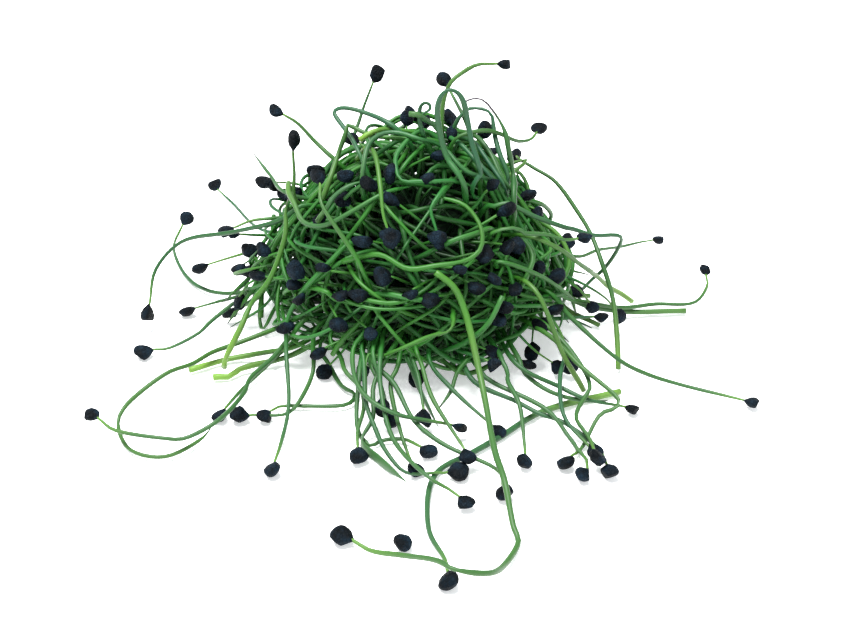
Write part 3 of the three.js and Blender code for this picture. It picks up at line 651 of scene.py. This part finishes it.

# %% [markdown]
# ## Sprouts that only the dressed part has
# The photograph shows many more sprouts than the solids hold. A few more lie in front, listed one by
# one.
# The rest fill the heap. Some fan out side by side from the top down both flanks, and some lean
# on the heap with their ends on the floor. All others start at a seed coat on the skin, or
# inside, and wind through the heap with a steady curl of their own, turned back wherever they
# would leave it. They bend round a hollow in the front, which is dark in the photograph.

# %% More sprouts in front and on top
FRONT = {
    "arc_wide": ([(-9, -9.5, 27), (-9, -9.5, 30.4), (-8.8, -8.5, 32), (-8.4, -6.7, 33.4),
        (-7.6, -5, 34.2), (-6, -3.6, 34.7), (-3.9, -3.3, 34.6), (-1, -4.3, 34.2), (1.8, -4, 33.5),
        (4.5, -3.5, 31)], None),
    "pale_drop": ([(-10, -1, 29), (-9.5, -3, 32), (-8.6, -4.8, 33.4), (-7.7, -6.9, 33.5),
        (-7, -9.5, 32.5), (-6.4, -13.3, 30.3), (-6, -16, 27.6)], (-5, -18, 25)),
    "c_shape": ([(3, -2, 32), (-0.2, -1.8, 34.2), (-1.9, -3.1, 34.3), (-3.4, -5.3, 33.7),
        (-4.3, -7.4, 32.8), (-4.2, -9.7, 31.9), (-3.8, -11.1, 31.2), (-3, -11.8, 30.9),
        (-1, -11.8, 30.9), (1.5, -11.6, 30.8), (3.9, -10.7, 30.4), (8, -8.6, 28)], None),
    "knee_top": ([(-15.5, -7.3, 25.7), (-14.3, -6.3, 28.5), (-13, -2.1, 31.4), (-12, -1.7, 34),
        (-11.6, -0.7, 35.1), (-11.2, -0.7, 34.9), (-8.7, -1.9, 34.4), (-4.2, -2.3, 34.2),
        (1.6, -2.6, 32.9), (4, -3, 31)], None),
    "stub": ([(-2.3, -6, 39), (-1, -6, 39), (-0.2, -5, 38), (1.2, -4, 36.5), (3, -4, 33)], None),
    "curl": ([(2, -3, 30), (0, -4, 34), (-0.7, -4, 36.6), (-0.8, -4, 38.5), (-0.6, -4, 39.4),
        (0, -4, 39.9), (0.7, -4.1, 39.6), (0.7, -4.3, 38.9), (0, -4.6, 38.3), (-0.6, -4.8, 37.8)],
        None),
    "yellow": ([(-9.8, -3, 33.6), (-8, -2.6, 34.3), (-5.9, -1.6, 34.4), (-2, -1, 34), (2, 0, 32)],
        None),
    "left_wide": ([(-21, -2, 26), (-19.9, -6.8, 25.5), (-18.2, -11, 24), (-16.5, -12.5, 24),
        (-14.4, -13.6, 24.8), (-10.6, -13.6, 27), (-6.1, -12.5, 29.3), (-2, -9, 29)], None),
    "face_arc": ([(-12, -16, 20), (-6.5, -18.5, 22.5), (-2.2, -20.6, 21.2), (2.9, -20.6, 21.8),
        (6.5, -19.3, 22.3), (8, -18.2, 23.3), (8.2, -16.8, 25), (7.2, -14.9, 26.8), (5.5, -13.8, 28.3),
        (1, -12, 29)], None),
    "face_seed": ([(4, -9, 30), (1.7, -13.6, 29), (0.8, -14.9, 28.1), (1.3, -16.4, 26.4)],
        (2, -18, 24.5)),
    "bundle_1": ([(1, 0, 31), (3.1, -5.7, 33.4), (4.4, -7.8, 32.5), (6, -8.9, 31.3), (8.5, -8.9, 30.4),
        (11.3, -5.9, 27.7)], None),
    "bundle_2": ([(2, 2, 32), (4.9, -3.8, 33.5), (6.1, -4.9, 32.8), (7.9, -7, 31.4), (9.3, -8.3, 30.1),
        (10.9, -7.2, 27.3)], None),
    "bundle_3": ([(5, 3, 31.5), (7.5, -2.3, 32.8), (9, -4.8, 31.6), (10.5, -6.7, 30),
        (11.6, -8.2, 28.8), (12.5, -7.3, 26.2)], None),
    "bundle_4": ([(5, 4, 32), (7.9, -0.1, 32.8), (9.8, -2.9, 31.7), (11.9, -5.7, 29.5),
        (13, -6.7, 28.1), (14.4, -6.7, 25.4)], None),
    "yellow_bow": ([(-16, -11, 24), (-14.3, -11.5, 26.7), (-13.3, -10.6, 27.8), (-11.3, -10.4, 29),
        (-8, -9, 29.5)], None),
    "front_1": ([(-10, -8, 8), (-14.5, -17, 7), (-13, -19.5, 5.5), (-12, -22.5, 5), (-9.5, -26, 4),
        (-9.5, -34, 1.8)], (-9.5, -38, SEED_REST)),
    "front_2": ([(-2, -8, 8), (-3.5, -22, 8), (-4, -24, 6.5), (-5, -26, 5.5), (-4.5, -30, 4),
        (-3, -36.5, 2.5), (-2.5, -37.5, 1.5)], (-1.5, -41, SEED_REST)),
    "front_3": ([(-8, -8, 8), (-9.5, -24.5, 6), (-9.5, -27.5, 4), (-9.5, -33, 1), (-8, -35.5, 1),
        (-7, -34.5, 1), (-3, -34, 1), (-1.5, -35, 1)], (0.5, -37, SEED_REST)),
    "front_4": ([(-6, -8, 8), (-9.5, -21, 8.5), (-9, -23, 7.5), (-8.5, -29.5, 4.5), (-7.5, -32.5, 3),
        (-5.5, -38, 2), (-3, -41.5, 1), (-0.5, -42.5, 1), (3.5, -41.5, 1)], (4.5, -41.5, SEED_REST)),
    "front_5": ([(2, -10, 8), (-1.5, -22, 9), (-0.5, -25, 7.5), (1, -30, 5.5), (4.5, -37.5, 3.5)],
        (6, -40, 2.8)),
    "front_6": ([(4, -10, 8), (0.5, -22.5, 7), (3.5, -26, 4.5), (8.5, -30.5, 2)],
        (10.5, -32.5, SEED_REST)),
    "front_7": ([(-3, -10, 8), (-8, -24, 8), (-4.5, -27.5, 6), (-1.5, -33, 3.5), (2.5, -37, 2.5),
        (9.5, -41, 1.5), (10.5, -42, 1)], (10.5, -46, SEED_REST)),
    "front_8": ([(12, -10, 7), (19.5, -16, 8), (21, -19.5, 6), (20, -24, 5), (20, -31.5, 3.5),
        (23.5, -35, 1.8)], (24, -37, SEED_REST)),
    "front_9": ([(-5, -8, 9), (-7, -23, 9), (-6.5, -26.5, 7.5), (-6, -28.5, 6)], (-6, -31, 4.5)),
    "front_10": ([(-6, -8, 8), (-8, -23, 7), (-6.5, -26, 5), (-6, -29, 3.5)], (-5, -30.5, 2)),
    "front_11": ([(0, -8, 8), (-2, -21.5, 8), (-1, -25, 6), (-0.5, -28, 4.5)], (0, -31, 2.5)),
    "front_12": ([(-8, -8, 9), (-9, -20, 10), (-10.5, -21.5, 8.5), (-9.5, -29, 6.5), (-5, -33.5, 5.5),
        (3, -35, 3)], (5, -33, 2.5)),
    "front_13": ([(-10, -8, 8), (-16.5, -16, 8), (-17, -17, 6), (-17, -20, 3), (-20, -28, 1.5),
        (-24, -29.5, 1)], (-27, -29, SEED_REST)),
    "front_14": ([(-14, 0, 8), (-26, -4, 9), (-28.5, -3, 6), (-30, -2, 4)], (-32, -2, 2.5)),
    "front_15": ([(6, -10, 8), (7.5, -20, 7), (5, -23.5, 5), (4, -26, 4), (2, -28, 2)], None),
    "front_16": ([(14, -10, 9), (20, -17.5, 8), (24, -24, 5), (24, -27, 4.5), (23.5, -27.5, 4),
        (21.5, -32, 3), (23, -36, 2.2)], (24, -40, 2.5)),
    "front_17": ([(10, -10, 8), (14, -20.5, 6), (15, -23, 5), (24.5, -26.5, 2.5), (27, -26, 2)], None),
    "front_18": ([(14, -8, 12), (10.5, -17.5, 21), (17.5, -14.5, 16.5), (23, -11, 10.5)], None),
}
for name, (path, seed) in FRONT.items():
    line = centreline(path, seed, FINE_STEP.get(name, STEP))
    sprouts.append(Sprout(name, line, seed, part="more"))
print(len(FRONT), "more in front")

# %% Seats of the other seed coats on the heap
SEATS = [
    (-3, 3, 34.5), (0, 3, 34), (4, 0, 33), (9, 2, 33), (2, -7, 33), (-11, 1, 32), (-5, -9, 31),
    (0, -11, 31), (12, -11, 26), (16, -1, 23.5), (17.5, -3, 21.5), (22.5, -0.5, 15),
    (13.5, -13.5, 21), (8.5, -17, 22), (17, -12.5, 17), (20, -10, 14), (7.5, -20, 18),
    (13.5, -17, 16), (24.5, -3, 7), (27, -5, 5.5), (31.5, -5, 4), (11, -20, 12.5), (11.5, -19.5, 14.5),
    (18, -15, 8.5), (20, -13, 10), (10, -20.5, 7), (16.5, -15, 3.5), (20.5, -17, 2), (16, -17, 2.5),
    (22, -17.5, 2.5), (-24.5, 7.5, 21), (-23, 7, 19.5), (-20.5, 0.5, 23), (-17.5, 2.5, 25.5),
    (-26, 8, 21.5), (-12, -9.5, 27), (-16, -9.5, 23.5), (-19.5, -15, 15.5), (-15, -16, 19),
    (-5, -12.5, 28.5), (-25, -6, 16.5), (-9.5, -20.5, 17), (-21.5, -16, 8.5), (-12.5, -20.5, 12),
    (-8, -22, 11.5), (-9.5, -18.5, 2), (-1, -20, 2), (-15.5, -17.5, SEED_REST), (-19, -15, 18),
    (-19, -17, 14), (-6, -20, 20), (-9, -17, 24), (-2, -22, 18), (1, -22, 17), (5, -20, 21),
    (10, -19, 19), (-16, -19, 6), (-28, -2, 14), (-30, -2, 11), (-28, -3, 11), (-26, -8, 13),
    (-38, 7, 6), (-30, -4, 6), (-32, 1, 16),
]
REAR_SEATS = 12
REAR_SEAT_ROW = 900
for k in range(REAR_SEATS):
    draw = draws_from(REAR_SEAT_ROW + k)
    SEATS.append(tuple(on_heap(bearing(0.6 + 0.16 * k, math.asin(draw(0, 0.7))), draw(1.0, 1.06))))
print(len(SEATS), "seats")


# %% Stems that wind through the heap
INNER, LEANING, FAN_RIGHT, FAN_LEFT = 98, 14, 13, 8
SEAT_ROW, INNER_ROW, LEANING_ROW, FAN_ROW = 1000, 1200, 1400, 1600
EVEN_SHARE = 0.618
STRIDE = 4.5
CURL_LEAST, CURL_MOST = 0.002, 0.028
TURN_BACK, TURN_ALONG = 3.0, 0.12
LIFT, LIFT_UNDER = 0.06, 5
HOLLOW = Vector((2, -15, 19))
HOLLOW_WIDE = 7
# The push bends stems round the hollow, and the shade share gives stems near it painted shade.
HOLLOW_PUSH, HOLLOW_SHADE = 0.3, 0.15


def wander(draw, start, heading, limit, length):
    """Points of a stem that winds inside a share of the heap's skin."""
    points = [Vector(start)]
    curl = Vector((draw(-1, 1), draw(-1, 1), draw(-1, 1))).normalized()
    turn = draw(CURL_LEAST, CURL_MOST) * STRIDE
    for _ in range(int(length / STRIDE)):
        here = points[-1]
        share, outward = from_heap(here).length, outward_at(here)
        heading = Quaternion(curl, turn) @ heading
        heading -= outward * (TURN_BACK * max(share - limit, 0)
                              + TURN_ALONG * max(heading.dot(outward), 0))
        heading.z += LIFT * max(LIFT_UNDER - here.z, 0)
        off = here - HOLLOW
        heading += off.normalized() * HOLLOW_PUSH * max(1 - off.length / HOLLOW_WIDE, 0)
        heading.normalize()
        points.append(here + heading * STRIDE)
    for p in points:
        p.z = max(p.z, LAID)
    return points


def tangent(draw, outward):
    """A heading along the skin: rather level in front, and steeper at the heap's sides."""
    level = Vector((-outward.y, outward.x, 0)).normalized() * (1 if draw() < 0.5 else -1)
    slant = draw(-0.6, 0.6) + math.copysign(0.6 * abs(outward.x), draw(-1, 1))
    return level * math.cos(slant) + outward.cross(level) * math.sin(slant)


def leaning(draw, turn):
    """A rather straight stem that leans on the heap: from its top to the floor beside it."""
    foot = on_heap(bearing(turn, 0), draw(0.9, 1.02))
    end = on_heap(bearing(turn + draw(-0.15, 0.15), 0), draw(1.02, 1.24))
    foot.z, end.z = draw(2.5, 5), LAID
    return [on_heap(bearing(turn + draw(-1.2, 1.2), math.asin(draw(0.8, 0.97))), 0.8),
            on_heap(bearing(turn + draw(-0.5, 0.5), math.asin(draw(0.55, 0.75))), draw(0.84, 0.92)),
            on_heap(bearing(turn, math.asin(draw(0.15, 0.3))), draw(0.88, 0.95)), foot, end]


def fanned(draw, turn):
    """One of the rather straight stems that fan out side by side from the top down one flank."""
    foot, end = on_heap(bearing(turn, 0), draw(0.92, 1.02)), on_heap(bearing(turn, 0), draw(1.0, 1.18))
    foot.z, end.z = draw(7, 10), draw(2, 6)
    return [on_heap(bearing(turn + draw(-0.9, 0.9), math.asin(draw(0.9, 0.98))), 0.85),
            on_heap(bearing(turn + draw(-0.3, 0.3), math.asin(draw(0.75, 0.85))), draw(0.96, 1.03)),
            on_heap(bearing(turn, math.asin(draw(0.4, 0.5))), draw(0.98, 1.05)), foot, end]


for k in range(FAN_RIGHT + FAN_LEFT):
    draw = draws_from(FAN_ROW + k)
    side = -34 + 4.2 * k if k < FAN_RIGHT else 160 + 6 * (k - FAN_RIGHT)
    line = centreline(fanned(draw, math.radians(side + draw(-2, 2))))
    sprouts.append(Sprout(f"fanned_{k + 1}", line, None, draw(0.52, 0.76), "more"))
for k in range(LEANING):
    draw = draws_from(LEANING_ROW + k)
    path = leaning(draw, math.radians(-12 + 206 * (k * EVEN_SHARE % 1)))
    if k % 3:
        path = path[::-1]
    sprouts.append(Sprout(f"leaning_{k + 1}", centreline(path), None, draw(0.5, 0.72), "more"))
for k, seat in enumerate(SEATS):
    draw = draws_from(SEAT_ROW + k)
    outward = outward_at(seat)
    heading = (tangent(draw, outward) - outward * draw(0.1, 0.5)).normalized()
    path = wander(draw, seat, heading, draw(0.66, 0.92), draw(55, 84))[::-1]
    sprouts.append(Sprout(f"seat_{k + 1}", centreline(path, seat), seat, draw(0.5, 0.7), "more"))
for k in range(INNER):
    draw = draws_from(INNER_ROW + k)
    outward = bearing(GOLDEN_TURN * k, math.asin(draw(-0.2, 0.98)))
    limit = 0.45 + 0.45 * ((k * EVEN_SHARE) % 1) ** 0.6
    path = wander(draw, on_heap(outward, limit), tangent(draw, outward), limit, draw(50, 84))
    path.insert(0, on_heap(outward, limit * 0.7) - (path[1] - path[0]))
    sprouts.append(Sprout(f"inner_{k + 1}", centreline(path), None, draw(0.46, 0.72), "more"))
print(len(sprouts), "sprouts in all")

# %% [markdown]
# ## Laying them on one another
# Lines drawn by rule cross through each other. Real stems lie on one another, so every pair of
# points that is closer than two stem radii is pushed apart, a little at a time, and the push is
# spread along the stem so that it stays smooth. A simulation of so many thin stems would be slow
# and hard to steer. The stems that the solids share hardly move.

# %% Pushing crossing stems apart
ROUNDS = 7
TOUCH = 1.08
GIVE = {"bunch": 0.25, "more": 1.0}
SHARED_MOST, MORE_MOST = 0.7, 6.0
SPREAD_PASSES = 8
OVERSHOOT = 1.3


def push_apart(all_sprouts, rounds):
    owner = np.concatenate([np.full(len(s.line), k) for k, s in enumerate(all_sprouts)])
    places = np.concatenate([s.line for s in all_sprouts])
    starts = places.copy()
    ends = np.cumsum([len(s.line) for s in all_sprouts])
    give = np.array([GIVE.get(s.part, 0.0) for s in all_sprouts])[owner]
    most = np.select([give == 0, give < 1], [0.0, SHARED_MOST], MORE_MOST)[:, None]
    for _ in range(rounds):
        tree = kdtree.KDTree(len(places))
        for k, p in enumerate(places):
            tree.insert(p, k)
        tree.balance()
        push = np.zeros_like(places)
        for k in np.nonzero(give > 0)[0]:
            for q, other, distance in tree.find_range(places[k], TOUCH):
                if owner[other] != owner[k] and distance > 1e-5:
                    share = give[k] / (give[k] + give[other])
                    push[k] += (places[k] - np.array(q)) / distance * (TOUCH - distance) * share
        for a, b in zip(np.concatenate([[0], ends[:-1]]), ends):
            for _ in range(SPREAD_PASSES):
                push[a + 1:b - 1] = (push[a:b - 2] + 2 * push[a + 1:b - 1] + push[a + 2:b]) / 4
        places += push * OVERSHOOT
        off = places - starts
        far = np.maximum(np.linalg.norm(off, axis=1, keepdims=True), 1e-9)
        places = starts + off * np.minimum(1, most / far)
        places[:, 2] = np.maximum(places[:, 2], LAID - 0.2)
    for s, part in zip(all_sprouts, np.split(places, ends[:-1])):
        s.line = part
    return np.abs(places - starts).max()


moved = push_apart(sprouts, ROUNDS)
print("the furthest point moved", round(float(moved), 2), "mm")

# %% [markdown]
# ## The stems' shape
# A stem is a tube. It is round along most of its length, thinner toward its tip, flattened
# where it makes a knee, and cut off square at its thick end, where a shallow dish shows. A few
# end in a flat pointed blade instead of a seed coat. A curve with a round bevel can't flatten or
# carry values for the finish, so each tube is built from rings of points.

# %% One stem
SIDES = 8
WAVE = 0.05
NECK = 0.55
THREAD_LONG = 6
FLATTEST = 0.55
BLADE_LONG, BLADE_WIDE, BLADE_THIN = 16, 1.6, 0.6


def rings_of(sprout):
    """Rings of points round a stem's line, and for each ring how far along it is."""
    line = sprout.line
    if sprout.seed is not None:
        back = np.array(sprout.heading)
        line = np.vstack([line, line[-1] + back * 0.5, line[-1] + back * 1.1])
    count, step = len(line), np.linalg.norm(line[1] - line[0])
    way = np.gradient(line, axis=0)
    way /= np.linalg.norm(way, axis=1, keepdims=True)
    bend = np.linalg.norm(np.gradient(way, axis=0), axis=1) / step
    along = np.linspace(0, 1, count)
    left = (1 - along) * count * step
    radius = sprout.thick * (CUT_RADIUS + (TIP_RADIUS - CUT_RADIUS) * along)
    radius = radius * (1 + WAVE * np.sin(along * 23 + sprout.thick * 90))
    if sprout.seed is not None:
        radius *= np.clip(NECK + left * 0.06, NECK, 1)
    elif sprout.end == "thread":
        radius *= np.clip((left - THREAD_LONG) * 0.2, 0.45, 1)
    else:
        radius *= np.clip(0.3 + left * 0.2, 0.3, 1)
    flat = np.clip(1 - (bend - 0.12) * 1.1, FLATTEST, 1)
    wide = np.ones(count)
    if sprout.end == "blade":
        near = np.clip(1 - left / BLADE_LONG, 0, 1)
        flat, wide = flat * (1 - BLADE_THIN * near), 1 + BLADE_WIDE * np.sin(near * math.pi)
    up = np.cross((0.3, 0.2, 1.0), way[0])
    frames = []
    for w in way:
        up = up - w * up.dot(w)
        up /= np.linalg.norm(up)
        frames.append((up, np.cross(w, up)))
    turn = np.arange(SIDES) * 2 * math.pi / SIDES
    ring = [p + r * (f * np.cos(turn)[:, None] * a + o * np.sin(turn)[:, None] * b)
            for p, r, f, o, (a, b) in zip(line, radius, flat, wide, frames)]
    dish = [line[0] + way[0] * 0.35 + (ring[0] - line[0]) * 0.3,
            line[0] - way[0] * 0.05 + (ring[0] - line[0]) * 0.72, ring[0]]
    return np.array(dish + ring[1:]), np.concatenate([[0, 0], along])


def ring_faces(rings, sides, first=0, turn=1):
    """Faces that join each ring to the next, and a lid at each end."""
    grid = first + np.arange(rings * sides).reshape(rings, sides)[:, ::turn]
    near, far = grid[:-1], grid[1:]
    quads = np.stack([near, np.roll(near, -1, 1), np.roll(far, -1, 1), far], axis=-1)
    return quads.reshape(-1, 4).tolist() + [grid[0, ::-1].tolist(), grid[-1].tolist()]


print("a stem has", SIDES, "sides")


# %% Several stems as one mesh
def add_values(mesh, name, kind, values):
    layer = mesh.attributes.new(name, kind, "POINT")
    key = "vector" if kind == "FLOAT_VECTOR" else "value"
    layer.data.foreach_set(key, np.asarray(values, dtype=np.float32).ravel())


DEPTH_FROM, DEPTH_OVER = 1.2, 0.6


def depth_of(rings):
    """0 outside the heap, a third on its skin, and 1 well inside it, for each ring."""
    # This depth drives the stems' painted shade; rings near the front hollow count as deeper, so they
    # get more of it.
    share = np.array([from_heap(p).length for p in rings.mean(axis=1)])
    hollow = np.exp(-((np.linalg.norm(rings.mean(axis=1) - HOLLOW, axis=1) / HOLLOW_WIDE) ** 2))
    return np.clip((DEPTH_FROM - share + HOLLOW_SHADE * hollow * (share < 1)) / DEPTH_OVER, 0, 1)


def stem_values(sprout, rings, far):
    """What the finish needs at every point of one stem."""
    draw = draws_from(sum(ord(c) * (k + 7) for k, c in enumerate(sprout.name)))
    blue, fresh, pale = sprout.look(draw)
    turn = np.tile(np.arange(SIDES) * 2 * math.pi / SIDES, len(rings))
    long = np.repeat(far, SIDES)
    left = (1 - long) * len(rings) * STEP
    dry = {"thread": np.clip((9 - left) / 3, 0, 1), "tip": np.clip(1.5 - left, 0, 0.8)}
    lines = np.stack([np.cos(turn) * 0.9, np.sin(turn) * 0.9, long * len(rings) * 0.13], 1)
    return {
        "along": long if sprout.seed is not None else long * 0.84, "blue": long * 0 + blue,
        "fresh": long * 0 + fresh, "pale": long * 0 + pale,
        "dry": long * 0 if sprout.seed is not None or sprout.end == "blade" else dry[sprout.end],
        "depth": np.repeat(depth_of(rings), SIDES),
        "lines": lines + [draw(0, 50), draw(0, 50), draw(0, 50)]}


def stems_piece(name, group):
    points, faces, values = [], [], []
    for s in group:
        rings, far = rings_of(s)
        faces += ring_faces(len(rings), SIDES, sum(map(len, points)))
        points.append(rings.reshape(-1, 3))
        values.append(stem_values(s, rings, far))
    piece = put(name, (np.concatenate(points) * MM).tolist(), faces, STEM)
    for key in values[0]:
        add_values(piece.data, key, "FLOAT_VECTOR" if key == "lines" else "FLOAT",
                   np.concatenate([v[key] for v in values]))
    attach(piece, "root")
    print(name, len(group), "stems,", sum(len(f) - 2 for f in faces), "triangles")
    return piece


for name in APART:
    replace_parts(stems_piece(f"sprout_{name}", [s for s in sprouts if s.part == name]), f"stem_{name}")
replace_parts(stems_piece("bunch_stems", [s for s in sprouts if s.part == "bunch"]), "bunch")
more = [s for s in sprouts if s.part == "more"]
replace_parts(stems_piece("more_stems", more[::2]), "bunch")
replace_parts(stems_piece("still_more_stems", more[1::2]), "bunch")

# %% [markdown]
# ## The dark inside
# The middle of the heap is so tightly packed that no light comes through. A lumpy dark body
# stands for it, as in the solids, and shows only through gaps; its dark green is painted shade.
# Hundreds of hidden stems would do the same at a much higher cost.

# %% The dark middle
INSIDE_RINGS, INSIDE_SIDES = 24, 48
INSIDE_HALF = Vector((16.5, 13.5, 19))


def inside_finish():
    finish = Finish("packed_inside")
    place = finish.node("ShaderNodeTexCoord", {}, {}, 3)
    strands = finish.node("ShaderNodeMapping", {}, {"Vector": place, "Scale": (260, 260, 1500)})
    grain = finish.grain(strands, 1.0, 4.0, 0.6)
    # Painted shade: a dark green with streaks stands for the shade among the packed stems.
    painted_shade_green = finish.blend(grain.ramp(0.4, 0.75), rgb(3, 10, 5), rgb(18, 44, 20))
    finish.feed(finish.skin, {"Base Color": painted_shade_green, "Roughness": 0.9, "Specular IOR Level": 0.1,
                              "Normal": finish.bumps(grain, 0.8, 0.0006)})
    return finish.material


points = []
for r in range(INSIDE_RINGS):
    rise = math.radians(-12 + 101 * r / (INSIDE_RINGS - 1))
    for k in range(INSIDE_SIDES):
        way = bearing(k * 2 * math.pi / INSIDE_SIDES, rise)
        lump = 1 + 0.1 * noise.noise(way * 3.5)
        place = CORE_CENTRE + Vector(w * h * lump for w, h in zip(way, INSIDE_HALF))
        points.append((place.x, place.y, max(place.z, 0.3)))
inside = put("packed_inside", (np.array(points) * MM).tolist(),
             ring_faces(INSIDE_RINGS, INSIDE_SIDES), inside_finish())
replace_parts(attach(inside, "root"), "bunch")
print("dark middle", tuple(round(2 * h) for h in INSIDE_HALF), "mm")

# %% [markdown]
# ## The seed coats
# A seed coat has a small beak where the stem enters. Its body is flattened and lies to one side
# of the beak, so that it looks like a D or a drop. It has flat cheeks where it was pressed against
# its neighbours, and it is crumpled all over. One sculpted coat would look copied where so many
# lie side by side, so each gets its form from draws and a noise of its own.

# %% One seed coat
COAT_RINGS, COAT_SIDES = 17, 20
PROFILE_ALONG = (-0.5, -0.44, -0.34, -0.2, 0.0, 0.22, 0.38, 0.47, 0.5)
PROFILE_WIDE = (0.08, 0.24, 0.5, 0.86, 1.04, 1.0, 0.74, 0.38, 0.06)
CHEEKS = 4
MORE_COATS_ROW = 200


def coat_points(centre, direction, number):
    draw = draws_from(SEED_ROW + number)
    side = Vector((draw(-1, 1), draw(-1, 1), 1.2)).cross(direction).normalized()
    over = side.cross(direction)
    size = draw(0.8, 1.12)
    off = (-1 if draw() < 0.5 else 1) * draw(0.3, 1) * SEED_OFF
    dent, own = draw(0.06, 0.16), Vector((draw(0, 99), draw(0, 99), draw(0, 99)))
    cheeks = [(Vector((draw(-0.6, 1), draw(-1, 1), draw(-0.8, 0.8))).normalized(), draw(0.85, 1.3))
              for _ in range(CHEEKS)]
    points = []
    for r in range(COAT_RINGS):
        along = -0.5 * math.cos(math.pi * r / (COAT_RINGS - 1))
        wide = float(np.interp(along, PROFILE_ALONG, PROFILE_WIDE))
        for s in range(COAT_SIDES):
            turn = s * 2 * math.pi / COAT_SIDES
            flat = 1 - 0.4 * max(0.0, -math.cos(turn)) ** 0.7
            place = Vector((along * SEED_LONG,
                            (math.sin(turn) * wide + off * math.cos(math.pi * along)) * SEED_WIDE / 2,
                            math.cos(turn) * flat * wide * SEED_DEEP / 2))
            for out, reach in cheeks:
                place -= out * max(0.0, place.dot(out) - reach) * 0.85
            crumple = noise.noise(place * 0.8 + own) * 0.9 + noise.noise(place * 2.2 + own) * 0.3
            place *= size * (1 + crumple * dent)
            place = centre + direction * place.x + side * place.y + over * place.z
            place.z = max(place.z, SEED_FOOT)
            points.append(place)
    return points


def coats_piece(name, seeds):
    """One mesh of several seed coats, given as (centre, direction, number)."""
    points, faces = [], []
    for seed in seeds:
        faces += ring_faces(COAT_RINGS, COAT_SIDES, len(points), -1)
        points += coat_points(*seed)
    piece = put(name, [p * MM for p in points], faces, SEED_COAT)
    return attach(piece, "root")


# %% All seed coats
shared = [s for s in sprouts if s.seed is not None and s.part != "more"]
for number, s in enumerate(shared):
    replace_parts(coats_piece(f"coat_{s.name}", [(s.seed, s.heading, number)]), f"seed_{s.name}")
lone = coats_piece("coat_lone", [(LONE_SEED, bearing(-1.9, 0.1), len(shared))])
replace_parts(lone, "seed_lone")
others = [(s.seed, s.heading, MORE_COATS_ROW + k) for k, s in enumerate(more) if s.seed is not None]
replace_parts(coats_piece("more_coats", others), "bunch")
print(len(shared) + 1, "seed coats of the solids and", len(others), "more")

# %% [markdown]
# ## The end

# %% The end
bpy.context.view_layer.update()
